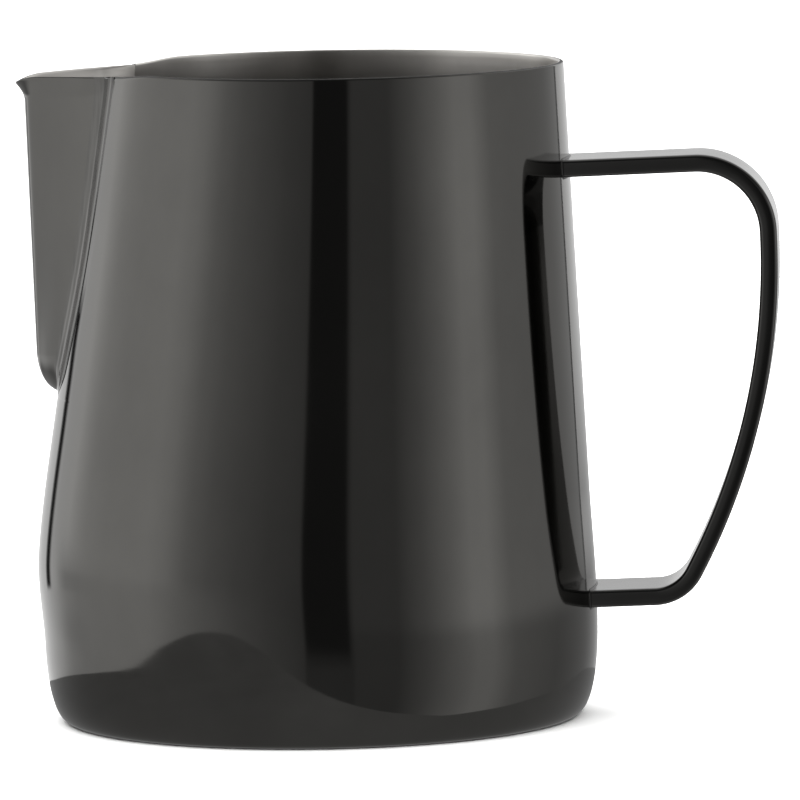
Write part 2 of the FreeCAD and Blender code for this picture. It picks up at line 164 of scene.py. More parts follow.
def pinch(z, angle):
    """The wall is pulled in a little more beside the spout's weld at +Y; past half a turn it isn't."""
    z = np.asarray(z, float)
    edge = np.arcsin(np.clip(seam_half_width(z) / RIM_RADIUS, 0, 1))
    near = np.clip(PINCH_REACH - (np.abs(angle) - edge) * RIM_RADIUS, 0, PINCH_REACH + 2)
    rise = np.clip((z - TOE_HEIGHT - PINCH_START) / PINCH_RISE, 0, 1)
    return PINCH_SLOPE / PINCH_REACH * near ** 2 / 2 * eased(rise)


def drawn_in(z, angle):
    """How far the wall stands inside the round cup."""
    return lean(z) * spout_side(np.cos(angle)) + pinch(z, angle)


def surface_radius(z, angle):
    """Outer radius at a height and an angle measured from the spout side (-X)."""
    return wall_radius(z) - drawn_in(z, angle)


def cup_point(z, angle, inset=0.0, radius=None):
    """Point of the cup wall; angle runs from -X, positive towards +Y."""
    z = np.asarray(z, float)
    base = wall_radius(z) if radius is None else radius
    reach = base - inset - drawn_in(z, angle)
    return np.stack(np.broadcast_arrays(-reach * np.cos(angle), reach * np.sin(angle), z), -1)


def settled(z, arc):
    """The rim sinks a little beside the spout: level of a point this far (mm) round from the weld."""
    near = np.clip(1 - (np.asarray(arc) / SETTLE_REACH) ** 2, 0, 1) ** 2
    high = np.clip((z - CUP_HEIGHT + SETTLE_HEIGHT) / SETTLE_HEIGHT, 0, 1)
    return z - RIM_SETTLE * near * eased(high)


def cup_normal(z, angle):
    """Outward normal of the cup wall, from small steps up and round it."""
    step = 0.01
    across = cup_point(z, angle + step) - cup_point(z, angle - step)
    upward = cup_point(z + step, angle) - cup_point(z - step, angle)
    return unit(np.cross(upward, across))


# ------------------------------------------------------------------ seam and spout form
FIRST_GUESS, PASSES = 0.3, 30


def seam_angle(z, half_width):
    """Angle at which the wall is this far from the middle plane, by repeated substitution."""
    angle = np.full(np.shape(z), FIRST_GUESS)
    for _ in range(PASSES):
        angle = np.arcsin(np.clip(half_width / surface_radius(z, angle), 0, 1))
    return angle


def keel_reach(z):
    """How far the nose of the spout stands out from the axis; it rounds in to the toe."""
    straight = KEEL_TOP - KEEL_SLOPE * (CUP_HEIGHT - z)
    fraction = np.clip((TOE_RISE - (z - TOE_HEIGHT)) / TOE_RISE, 0, 1)
    return straight - TOE_REACH * (1 - np.sqrt(1 - fraction ** 2))


def lip_level(x):
    """Height of the pouring lip: a slow fall forward and a quick drop at the tip."""
    along = np.clip((JUNCTION_X - x) / (KEEL_TOP + JUNCTION_X), 0, 1.2)
    tip_start = -(KEEL_TOP + FLARE_NOSE) + TIP_DROP_LENGTH
    return LIP_HEIGHT - LIP_FALL * along - TIP_DROP * (np.clip(tip_start - x, 0, None) / TIP_DROP_LENGTH) ** 2


def spout_section(z, u, inset):
    """Point and outward direction on the level section at z; u runs from the seam (0) to the nose (1)."""
    half = seam_half_width(z)
    angle = seam_angle(z, half)
    seam = cup_point(z, angle)[..., :2]
    upness = np.clip((z - TOE_HEIGHT) / (CUP_HEIGHT - TOE_HEIGHT), 0, 1)
    nose = NOSE_TOE + (NOSE_TOP - NOSE_TOE) * upness
    centre = np.stack([-(keel_reach(z) - nose), np.zeros_like(z)], -1)
    to_seam = seam - centre
    distance = np.maximum(np.linalg.norm(to_seam, axis=-1), nose)
    touch_angle = np.arctan2(to_seam[..., 1], to_seam[..., 0]) + np.arccos(np.clip(nose / distance, -1, 1))
    touch = centre + nose[..., None] * np.stack([np.cos(touch_angle), np.sin(touch_angle)], -1)
    chord = touch - seam
    chord_length = np.maximum(np.linalg.norm(chord, axis=-1), 1e-6)
    nose_length = nose * np.clip(math.pi - touch_angle, 0, None)
    total = chord_length + nose_length
    run = u * total
    on_flank = run < chord_length
    along = chord / chord_length[..., None]
    flank_out = np.stack([along[..., 1], -along[..., 0]], -1)
    flip = np.where(flank_out[..., 1] < 0, -1.0, 1.0)
    flank_out = flank_out * flip[..., None]
    turned = touch_angle + np.clip(run - chord_length, 0, None) / nose
    nose_out = np.stack([np.cos(turned), np.sin(turned)], -1)
    base = np.where(on_flank[..., None], seam + along * run[..., None], centre + nose[..., None] * nose_out)
    out = np.where(on_flank[..., None], flank_out, nose_out)
    swell_run = np.clip(run / (chord_length + BULGE_NOSE_SHARE * nose_length), 0, 1)
    swell = FLANK_BULGE * np.clip(chord_length / BULGE_CHORD, 0, 1) * np.sin(math.pi * swell_run) ** 2
    amount = (FLARE_FLANK + (FLARE_NOSE - FLARE_FLANK) * u ** 3) * np.clip(u / FLARE_ONSET, 0, 1)
    lip = lip_level(base[..., 0] + out[..., 0] * amount)
    rise = np.clip((z - (lip - FLARE_HEIGHT)) / FLARE_HEIGHT, 0, 1.2)
    offset = swell + amount * rise ** 2 - inset
    point = base + out * offset[..., None]
    return point, out, lip, total


def spout_point(z_seam, u, inset, drop=0.0, lift=0.0):
    """Point on the spout: level ribs low down, ribs that follow the pouring lip at the top."""
    z_seam, u = np.broadcast_arrays(np.asarray(z_seam, float), np.asarray(u, float))
    _point, _out, lip, _total = spout_section(z_seam, u, 0.0)
    follow = np.clip((z_seam - LIP_FOLLOW_START) / (LIP_HEIGHT - LIP_FOLLOW_START), 0, 1)
    z = z_seam - (LIP_HEIGHT - lip) * eased(follow) - drop
    point, out, _lip, _total = spout_section(z, u, inset)
    return np.concatenate([point, (z + lift)[..., None]], -1), out


SEAM_STEPS, SEAM_SAMPLES = 220, 6000


def seam_levels(top):
    """Heights down the seam from a top level to the toe, evenly spaced along the seam."""
    turn = np.linspace(0, math.pi / 2, SEAM_SAMPLES)
    drop = np.sin(turn) ** (2 / SEAM_POWER)
    half = SEAM_HALF_WIDTH * np.cos(turn) ** (2 / SEAM_ROOT)
    z = CUP_HEIGHT - drop * (CUP_HEIGHT - TOE_HEIGHT)
    keep = z <= top + 1e-9
    z, half = z[keep], half[keep]
    length = np.concatenate([[0], np.cumsum(np.hypot(np.diff(z), np.diff(half)))])
    even = np.linspace(0, length[-1], SEAM_STEPS)
    return np.interp(even, length, z), np.interp(even, length, half)


SEAM_Z, SEAM_HALF = seam_levels(LIP_HEIGHT)
SEAM_ANGLE = seam_angle(SEAM_Z, SEAM_HALF)


def weld_share():
    """The weld is slimmer round the spout's toe."""
    rise = np.clip((SEAM_Z - TOE_HEIGHT) / WELD_TOE_REACH, 0, 1)
    return WELD_TOE_SHARE + (1 - WELD_TOE_SHARE) * eased(rise)


WELD_SHARE = weld_share()
BODY_SIDE = WELD_BODY_SIDE * np.interp(SEAM_Z, SLIM_HEIGHTS, (1.0, SLIM_SHARE))


def body_edge():
    """Where the cup's wall stops and the weld starts: the seam set off along the wall."""
    radius = surface_radius(SEAM_Z, SEAM_ANGLE)
    side = BODY_SIDE * WELD_SHARE
    around = np.gradient(SEAM_ANGLE * radius)
    down = np.gradient(SEAM_Z)
    size = np.hypot(around, down)
    angle = SEAM_ANGLE + side * (-down / size) / radius
    z = SEAM_Z + side * (around / size)
    angle[-1] = 0.0
    z[-1] = TOE_HEIGHT - side[-1]
    angle = np.maximum.accumulate(angle[::-1])[::-1]
    return z, angle


EDGE_Z, EDGE_ANGLE = body_edge()


def inner_seam():
    """Corner between the inner skins of cup and spout."""
    normal = unit(cup_normal(SEAM_Z, SEAM_ANGLE)[:, :2])
    _point, out, _lip, _total = spout_section(SEAM_Z, np.zeros_like(SEAM_Z), 0.0)
    seam = cup_point(SEAM_Z, SEAM_ANGLE)[:, :2]
    both = normal + out
    corner = seam - WALL * both / (1 + np.sum(normal * out, 1, keepdims=True))
    angle = np.arctan2(corner[:, 1], -corner[:, 0])
    angle = np.clip(angle, 0, None) * np.sqrt(np.clip((SEAM_Z - TOE_HEIGHT) / INNER_TOE_REACH, 0, 1))
    lift = WALL * np.clip(1 - (SEAM_Z - TOE_HEIGHT) / INNER_TOE_LIFT, 0, 1)
    angle = np.maximum.accumulate(angle[::-1])[::-1]
    return SEAM_Z + lift, angle, lift


INNER_Z, INNER_ANGLE, INNER_LIFT = inner_seam()


# ------------------------------------------------------------------ mesh helpers
SHARP_ANGLE = math.radians(50)
MERGE_DISTANCE = 2e-7


def grid_mesh(name, rows, materials, close_rows=False,
              row_material=None, column_material=None, cap_ends=False):
    """Smooth mesh from rows of points in millimetres; doubled points are welded into one."""
    rows = np.asarray(rows)
    row_count, column_count, _ = rows.shape
    mesh = bpy.data.meshes.new(name)
    build = bmesh.new()
    points = [build.verts.new(p) for p in (rows.reshape(-1, 3) * MM).tolist()]
    wrap = column_count if close_rows else column_count - 1
    for row in range(row_count - 1):
        here, there = row * column_count, (row + 1) * column_count
        for column in range(wrap):
            beside = (column + 1) % column_count
            face = build.faces.new((points[here + column], points[here + beside],
                                    points[there + beside], points[there + column]))
            face.smooth = True
            if row_material is not None:
                face.material_index = row_material[row]
            if column_material is not None:
                face.material_index = column_material[column]
    if cap_ends:
        build.faces.new(points[:column_count])
        build.faces.new(points[-column_count:][::-1])
    bmesh.ops.remove_doubles(build, verts=build.verts, dist=MERGE_DISTANCE)
    bmesh.ops.dissolve_degenerate(build, edges=build.edges, dist=MERGE_DISTANCE / 2)
    bmesh.ops.recalc_face_normals(build, faces=build.faces)
    for edge in build.edges:
        edge.smooth = edge.calc_face_angle(0.0) < SHARP_ANGLE
    build.to_mesh(mesh)
    build.free()
    item = bpy.data.objects.new(name, mesh)
    bpy.context.collection.objects.link(item)
    for material in materials:
        mesh.materials.append(material)
    return item


# ------------------------------------------------------------------ materials
def node(tree, kind, **settings):
    """Shader node of a kind, with its plain settings."""
    item = tree.nodes.new(kind)
    for key, value in settings.items():
        setattr(item, key, value)
    return item


def new_material(name, base, metallic, roughness):
    """Material, its node tree and its Principled shader."""
    material = bpy.data.materials.new(name)
    material.use_nodes = True
    tree = material.node_tree
    shader = tree.nodes["Principled BSDF"]
    shader.inputs["Base Color"].default_value = (*base, 1)
    shader.inputs["Metallic"].default_value = metallic
    shader.inputs["Roughness"].default_value = roughness
    return material, tree, shader


def stretched_noise(tree, stretch, scale, detail=4.0, roughness=0.6):
    """Noise in the object's own metres, stretched along its axes."""
    coords = node(tree, "ShaderNodeTexCoord")
    mapping = node(tree, "ShaderNodeMapping")
    mapping.inputs["Scale"].default_value = stretch
    noise = node(tree, "ShaderNodeTexNoise")
    noise.inputs["Scale"].default_value = scale
    noise.inputs["Detail"].default_value = detail
    noise.inputs["Roughness"].default_value = roughness
    tree.links.new(coords.outputs["Object"], mapping.inputs["Vector"])
    tree.links.new(mapping.outputs["Vector"], noise.inputs["Vector"])
    return noise


def ranged(tree, source, low, high, from_low=0.3, from_high=0.7):
    """Map a value, by default the usual spread of a noise, to a range."""
    spread = node(tree, "ShaderNodeMapRange")
    spread.inputs["From Min"].default_value = from_low
    spread.inputs["From Max"].default_value = from_high
    spread.inputs["To Min"].default_value = low
    spread.inputs["To Max"].default_value = high
    tree.links.new(source, spread.inputs["Value"])
    return spread


def tinted(tree, source, dark, light):
    """Colour that varies with a noise between a dark and a light one."""
    spread = ranged(tree, source, 0.0, 1.0)
    mix = node(tree, "ShaderNodeMix", data_type="RGBA")
    mix.inputs["A"].default_value = (*dark, 1)
    mix.inputs["B"].default_value = (*light, 1)
    tree.links.new(spread.outputs["Result"], mix.inputs["Factor"])
    return mix


def bump(tree, shader, sources):
    """Chain of bump nodes; each source is (socket, strength, distance in metres)."""
    previous = None
    for socket, strength, distance in sources:
        item = node(tree, "ShaderNodeBump")
        item.inputs["Strength"].default_value = strength
        item.inputs["Distance"].default_value = distance
        tree.links.new(socket, item.inputs["Height"])
        if previous is not None:
            tree.links.new(previous.outputs["Normal"], item.inputs["Normal"])
        previous = item
    tree.links.new(previous.outputs["Normal"], shader.inputs["Normal"])


def height_part(tree):
    """Socket with the height above the table, in metres."""
    coords = node(tree, "ShaderNodeTexCoord")
    split = node(tree, "ShaderNodeSeparateXYZ")
    tree.links.new(coords.outputs["Object"], split.inputs["Vector"])
    return split.outputs["Z"]


def coat(tree, shader, colour_noise, rough_noise, dark, light, rough_low, rough_high, shade=None):
    """Colour and roughness from two noises; shade is (height in metres, factor) low down and high up."""
    colour = tinted(tree, colour_noise.outputs["Fac"], dark, light).outputs["Result"]
    if shade is not None:
        (low, low_factor), (high, high_factor) = shade
        factor = ranged(tree, height_part(tree), low_factor, high_factor, low, high)
        scale = node(tree, "ShaderNodeVectorMath", operation="SCALE")
        tree.links.new(colour, scale.inputs["Vector"])
        tree.links.new(factor.outputs["Result"], scale.inputs["Scale"])
        colour = scale.outputs["Vector"]
    tree.links.new(colour, shader.inputs["Base Color"])
    rough = ranged(tree, rough_noise.outputs["Fac"], rough_low, rough_high)
    tree.links.new(rough.outputs["Result"], shader.inputs["Roughness"])


# The polished colour runs from 3% darker at the table to 3% lighter at the rim's height.
POLISHED_HEIGHT_SHADE = ((0.0, 0.97), (0.108, 1.03))
# Painted light on the satin inside: its colour brightens up to 2.1 times over the last 4 mm below the rim.
INSIDE_PAINTED_RIM_LIGHT = ((0.1035, 1.0), (0.1078, 2.1))
# Painted shade in the weld's groove: dark and dull below 83 mm, fading to plain metal by 96 mm.
PAINTED_SHADE_FADE = ((0.083, 1.0), (0.096, 7.0))


def polished(name, dark, light, rough_low, rough_high, wave=0.00002):
    """Polished dark coating: faint buffing lines round the cup, smudgy roughness, slow waviness."""
    material, tree, shader = new_material(name, light, 1.0, rough_low)
    cloud = stretched_noise(tree, stretch=(1, 1, 0.7), scale=38.0, detail=5.0)
    lines = stretched_noise(tree, stretch=(18, 18, 900), scale=1.6, detail=3.0)
    slow = stretched_noise(tree, stretch=(1, 1, 0.35), scale=22.0, detail=1.0)
    coat(tree, shader, cloud, cloud, dark, light, rough_low, rough_high, POLISHED_HEIGHT_SHADE)
    bump(tree, shader, [(slow.outputs["Fac"], 0.25, wave), (lines.outputs["Fac"], 0.10, 0.000002)])
    return material


def satin(name, dark, light, rough_low, rough_high):
    """Satin inside: fine lines round the wall, so light smears up and down, over a soft mottling, with
    painted light brightening the colour just below the rim.
    """
    material, tree, shader = new_material(name, light, 1.0, rough_low)
    tangent = node(tree, "ShaderNodeTangent", direction_type="RADIAL", axis="Z")
    tree.links.new(tangent.outputs["Tangent"], shader.inputs["Tangent"])
    shader.inputs["Anisotropic"].default_value = 0.85
    shader.inputs["Anisotropic Rotation"].default_value = 0.25
    lines = stretched_noise(tree, stretch=(14, 14, 1300), scale=1.3, detail=5.0, roughness=0.7)
    cloud = stretched_noise(tree, stretch=(1, 1, 1), scale=60.0)
    coat(tree, shader, cloud, lines, dark, light, rough_low, rough_high, INSIDE_PAINTED_RIM_LIGHT)
    bump(tree, shader, [(lines.outputs["Fac"], 0.25, 0.000004)])
    return material


def dressed_weld(name, dark, light, rough_low, rough_high, metallic=1.0, metallic_high=None):
    """Dressed and polished weld: the cup's coating with fine file marks and tiny pits.

    With metallic_high the painted shade, dark and dull low down, gives way to plain metal towards the rim."""
    fading_shade = metallic_high is not None
    material, tree, shader = new_material(name, light, metallic, rough_low)
    shader.inputs["Specular IOR Level"].default_value = 0.0 if fading_shade else 0.1
    if fading_shade:
        (shade_full_below, _factor), (shade_gone_above, _factor) = PAINTED_SHADE_FADE
        metal_by_height = ranged(tree, height_part(tree), metallic, metallic_high, shade_full_below, shade_gone_above)
        tree.links.new(metal_by_height.outputs["Result"], shader.inputs["Metallic"])
    marks = stretched_noise(tree, stretch=(900, 900, 60), scale=1.5)
    pits = stretched_noise(tree, stretch=(1, 1, 1), scale=900.0, detail=2.0)
    coat(tree, shader, marks, marks, dark, light, rough_low, rough_high, PAINTED_SHADE_FADE if fading_shade else None)
    bump(tree, shader, [(marks.outputs["Fac"], 0.15, 0.000006), (pits.outputs["Fac"], 0.10, 0.000006)])
    return material


CUP_STEEL = polished("gunmetal_polished", dark=(0.110, 0.1075, 0.102), light=(0.130, 0.127, 0.120),
                     rough_low=0.045, rough_high=0.085)
BAR_STEEL = polished("gunmetal_bar", dark=(0.105, 0.104, 0.101), light=(0.130, 0.128, 0.124),
                     rough_low=0.09, rough_high=0.16, wave=0.000012)
INSIDE_STEEL = satin("gunmetal_satin_inside", dark=(0.34, 0.329, 0.312), light=(0.44, 0.425, 0.404),
                     rough_low=0.28, rough_high=0.38)
# Painted dark reflection on the top of the rolled rim.
RIM_PAINTED_DARK_STEEL = dressed_weld("gunmetal_rim_painted_dark", dark=(0.030, 0.030, 0.029), light=(0.050, 0.049, 0.047),
                          rough_low=0.42, rough_high=0.55)
# Painted shade: the foot welds are darker than the bar, for the shade in the notch where strap and cup meet.
FOOT_PAINTED_SHADE_STEEL = dressed_weld("gunmetal_foot_weld_painted_shade", dark=(0.045, 0.044, 0.043), light=(0.085, 0.083, 0.080),
                          rough_low=0.28, rough_high=0.42)
# Painted shade in the valley in the middle of the spout's weld: a darker, less metallic coat.
VALLEY_PAINTED_SHADE_STEEL = dressed_weld("gunmetal_weld_valley_painted_shade", dark=(0.060, 0.059, 0.057), light=(0.090, 0.088, 0.084),
                            rough_low=0.10, rough_high=0.20, metallic=0.78)
# Painted shade: a dark, dull line along the weld's groove beside the cup.
GROOVE_PAINTED_SHADE_STEEL = dressed_weld("gunmetal_weld_groove_painted_shade", dark=(0.012, 0.012, 0.012), light=(0.022, 0.021, 0.020),
                            rough_low=0.3, rough_high=0.45, metallic=0.0, metallic_high=1.0)
WELD_STEEL = dressed_weld("gunmetal_weld", dark=(0.108, 0.106, 0.102), light=(0.142, 0.139, 0.133),
                          rough_low=0.05, rough_high=0.12)


# ------------------------------------------------------------------ cup
COLUMNS = 320
ROW_STEP, RIM_MARGIN = 0.35, 0.2
BELLY_ROWS, CORNER_STEPS, ROUND_STEPS = 90, 26, 6
# The third slot, on the rim's top, is a painted dark reflection.
POLISHED, SATIN, PAINTED_DARK_RIM = 0, 1, 2
PAINTED_DARK_RIM_START = 3


def rim_rounding():
    """Inset and rise of the rolled edge, from the outer skin over the top to the inner skin."""
    outer = []
    for step in range(ROUND_STEPS + 1):
        turn = math.pi / 2 * step / ROUND_STEPS
        outer.append((RIM_ROUND * (1 - math.cos(turn)), RIM_ROUND * math.sin(turn)))
    return outer + [(WALL - inset, rise) for inset, rise in outer[::-1]]


def rim_kind(index, inset):
    """Material slot round the rim: polished outside, a dark material on top that paints a dark reflection,
    satin on the inner rounding.
    """
    if inset >= WALL - RIM_ROUND - 0.01:
        return SATIN
    return POLISHED if index < PAINTED_DARK_RIM_START else PAINTED_DARK_RIM


def cup_row(z, gap, inset=0.0, radius=None, rise=0.0):
    """Row round the cup that leaves a gap of this half-angle open at the spout."""
    share = np.linspace(0, 2, COLUMNS + 1)
    angle = gap + (math.pi - gap) * share
    arc = (math.pi - gap) * (1 - np.abs(1 - share)) * RIM_RADIUS
    level = settled(z + rise, arc)
    return cup_point(level, angle, inset, radius)


def disc_row(radius, z):
    angle = np.linspace(0, 2 * math.pi, COLUMNS + 1)
    return np.stack([-radius * np.cos(angle), radius * np.sin(angle), np.full(COLUMNS + 1, z)], -1)


def corner_profile(inset):
    """Radius, height pairs of the rounded corner from the standing ring to the belly."""
    pairs = []
    for step in range(CORNER_STEPS + 1):
        sine = math.sin(math.pi / 2 * step / CORNER_STEPS)
        cosine = math.sqrt(max(0.0, 1 - sine * sine))
        radius = BASE_RADIUS + (BELLY_RADIUS - BASE_RADIUS) * sine ** (2 / CORNER_POWER)
        z = BELLY_HEIGHT * (1 - cosine ** (2 / CORNER_POWER))
        run = sine ** (2 - 2 / CORNER_POWER) / (BELLY_RADIUS - BASE_RADIUS)
        fall = cosine ** (2 - 2 / CORNER_POWER) / BELLY_HEIGHT
        size = math.hypot(run, fall)
        pairs.append((radius - inset * run / size, z + inset * fall / size))
    return pairs


def smooth_wall(mesh, low_rim):
    """Give the wall the exact normals of its form, so that reflections run evenly over the mesh."""
    count = len(mesh.vertices)
    place = np.empty(count * 3)
    normal = np.empty(count * 3)
    mesh.vertices.foreach_get("co", place)
    mesh.vertices.foreach_get("normal", normal)
    place = place.reshape(-1, 3) / MM
    normal = normal.reshape(-1, 3)
    angle = np.arctan2(place[:, 1], -place[:, 0])
    radius = np.hypot(place[:, 0], place[:, 1])
    inset = surface_radius(place[:, 2], angle) - radius
    on_wall = (place[:, 2] > BELLY_HEIGHT + 0.5) & (place[:, 2] < low_rim - RIM_SETTLE - 0.1)
    exact = cup_normal(place[:, 2], angle)
    exact *= np.sign(np.sum(exact[:, :2] * place[:, :2], 1))[:, None]
    outside = on_wall & (np.abs(inset) < 0.02)
    inside = on_wall & (np.abs(inset - WALL) < 0.02)
    normal[outside] = exact[outside]
    normal[inside] = -exact[inside]
    mesh.normals_split_custom_set_from_vertices(normal.tolist())


def build_cup():
    rows = []
    kinds = []

    def add(row, kind=POLISHED):
        rows.append(row)
        kinds.append(kind)

    # Underside: the pressed panel, its rounded step and the flat standing ring.
    inner_panel = PANEL_RADIUS - PANEL_DRAFT
    for share in (0, 0.2, 0.4, 0.6, 0.8, 0.9, 0.96):
        add(disc_row(inner_panel * share, PANEL_DEPTH))
    for radius, z in ((inner_panel - 0.25, PANEL_DEPTH - 0.01), (inner_panel + 0.08, PANEL_DEPTH - 0.12),
                      (inner_panel + 0.5, PANEL_DEPTH / 2), (PANEL_RADIUS - 0.1, 0.12),
                      (PANEL_RADIUS + 0.2, 0.01), (PANEL_RADIUS + 0.6, 0.0), (PANEL_RADIUS + 3.0, 0.0),
                      (BASE_RADIUS - 0.6, 0.0)):
        add(disc_row(radius, z))
    # Outside: closed rows up to the spout's toe, then rows that stop at the weld.
    for radius, z in corner_profile(0.0):
        add(cup_row(z, 0.0, 0.0, radius))
    edge_bottom = EDGE_Z[-1]
    for z in np.linspace(BELLY_HEIGHT, edge_bottom, BELLY_ROWS)[1:-1]:
        add(cup_row(z, 0.0))
    low_rim = CUP_HEIGHT - RIM_ROUND
    last = edge_bottom - ROW_STEP
    for z, gap in zip(EDGE_Z[::-1], EDGE_ANGLE[::-1]):
        if last + ROW_STEP <= z < low_rim - RIM_MARGIN:
            add(cup_row(z, gap))
            last = z
    # Rim: over the rolled edge to the inner skin.
    edge_gap = float(np.interp(low_rim, EDGE_Z[::-1], EDGE_ANGLE[::-1]))
    inner_gap = float(np.interp(low_rim, INNER_Z[::-1], INNER_ANGLE[::-1]))
    rim_radius = wall_radius(low_rim)
    for index, (inset, rise) in enumerate(rim_rounding()):
        gap = edge_gap + (inner_gap - edge_gap) * inset / WALL
        add(cup_row(low_rim, gap, inset, rim_radius, rise), rim_kind(index, inset))
    # Inside: down to the toe, the closed wall, the corner, and the floor over the pressed panel.
    last = low_rim - RIM_MARGIN
    for z, gap in zip(INNER_Z, INNER_ANGLE):
        if INNER_Z[-1] + ROW_STEP < z <= last - ROW_STEP:
            add(cup_row(z, gap, WALL), SATIN)
            last = z
    for z in np.linspace(INNER_Z[-1], BELLY_HEIGHT, BELLY_ROWS)[:-1]:
        add(cup_row(z, 0.0, WALL), SATIN)
    for radius, z in corner_profile(WALL)[::-1]:
        row = disc_row(radius, z)
        if z > LEAN_START:
            row = cup_row(z, 0.0, 0.0, radius)
        add(row, SATIN)
    floor = WALL + PANEL_DEPTH
    for radius, z in ((PANEL_RADIUS + 2.2, WALL), (PANEL_RADIUS + 1.5, WALL + 0.01),
                      (PANEL_RADIUS + 1.1, WALL + 0.1), (inner_panel + 1.5, WALL + PANEL_DEPTH / 2),
                      (inner_panel + 0.9, floor - 0.12), (inner_panel + 0.5, floor - 0.01)):
        add(disc_row(radius, z), SATIN)
    for share in (0.97, 0.9, 0.8, 0.6, 0.4, 0.2, 0):
        add(disc_row(inner_panel * share, floor), SATIN)
    item = grid_mesh("cup_body", rows, [CUP_STEEL, INSIDE_STEEL, RIM_PAINTED_DARK_STEEL], row_material=kinds)
    smooth_wall(item.data, low_rim)
    return item


# ------------------------------------------------------------------ spout
def spout_start():
    """Share of each rib that the weld covers."""
    _point, _out, _lip, total = spout_section(SEAM_Z, np.zeros_like(SEAM_Z), 0.0)
    return np.minimum(WELD_SPOUT_SIDE * WELD_SHARE, 0.35 * total) / total


SPOUT_START = spout_start()
RIB_STEPS = 56
PULL_FADE = 3.5


def seam_pull(share):
    """How far the spout's inner skin is drawn to the corner where it meets the cup's inner skin."""
    return np.clip(1 - share * PULL_FADE, 0, 1)[:, None]


def mirrored(row):
    """Half a row from the seam to the nose, carried on to the other seam."""
    other = row[-2::-1].copy()
    other[:, 1] *= -1
    return np.concatenate([row, other])


def build_spout():
    share = np.linspace(0, 1, RIB_STEPS + 1)
    rows = []
    kinds = []
    for k in range(SEAM_STEPS - 1, 1, -1):
        u = SPOUT_START[k] + (1 - SPOUT_START[k]) * share
        points, _out = spout_point(np.full(u.shape, SEAM_Z[k]), u, 0.0)
        rows.append(mirrored(points))
        kinds.append(POLISHED)
    near_seam = seam_pull(share)
    top_corner = cup_point(settled(INNER_Z[0], 0.0), INNER_ANGLE[0], WALL)
    for index, (inset, rise) in enumerate(rim_rounding()):
        start = SPOUT_START[0] * (1 - inset / WALL)
        u = start + (1 - start) * share
        points, _out = spout_point(np.full(u.shape, SEAM_Z[0]), u, inset, drop=RIM_ROUND - rise)
        shift = (top_corner - points[0]) * np.array([1, 1, 0]) * inset / WALL
        rows.append(mirrored(points + shift * near_seam))
        kinds.append(rim_kind(index, inset))
    for k in range(2, SEAM_STEPS):
        points, _out = spout_point(np.full(share.shape, SEAM_Z[k]), share, WALL, lift=INNER_LIFT[k])
        corner = cup_point(settled(INNER_Z[k], 0.0), INNER_ANGLE[k], WALL)
        points = points + (corner - points[0]) * near_seam
        if k == SEAM_STEPS - 1:
            points[:] = corner
        rows.append(mirrored(points))
        kinds.append(SATIN)
    return grid_mesh("pouring_spout", rows, [CUP_STEEL, INSIDE_STEEL, RIM_PAINTED_DARK_STEEL], row_material=kinds)


# ------------------------------------------------------------------ weld round the spout
BEAD_STEPS = 30
TANGENT_STEP = 0.02
CENTRING_PASSES = 4


def tilt(direction, outward, along):
    """Angle of a direction above the chord across the bead."""
    return np.arctan2(np.sum(direction * outward, 1), np.sum(direction * along, 1))


def bead_rise(share, lean_start, lean_end, slopes):
    """Height of the bead over its chord, as shares of the chord, from its slopes; it ends at nothing."""
    turn = (1 - eased(share)) * lean_start + eased(share) * lean_end + slopes
    for _ in range(CENTRING_PASSES):
        slope = np.tan(turn)
        rise = np.concatenate([[0], np.cumsum((slope[1:] + slope[:-1]) / 2)]) / BEAD_STEPS
        turn = turn - rise[-1] * 6 * share * (1 - share)
    return rise


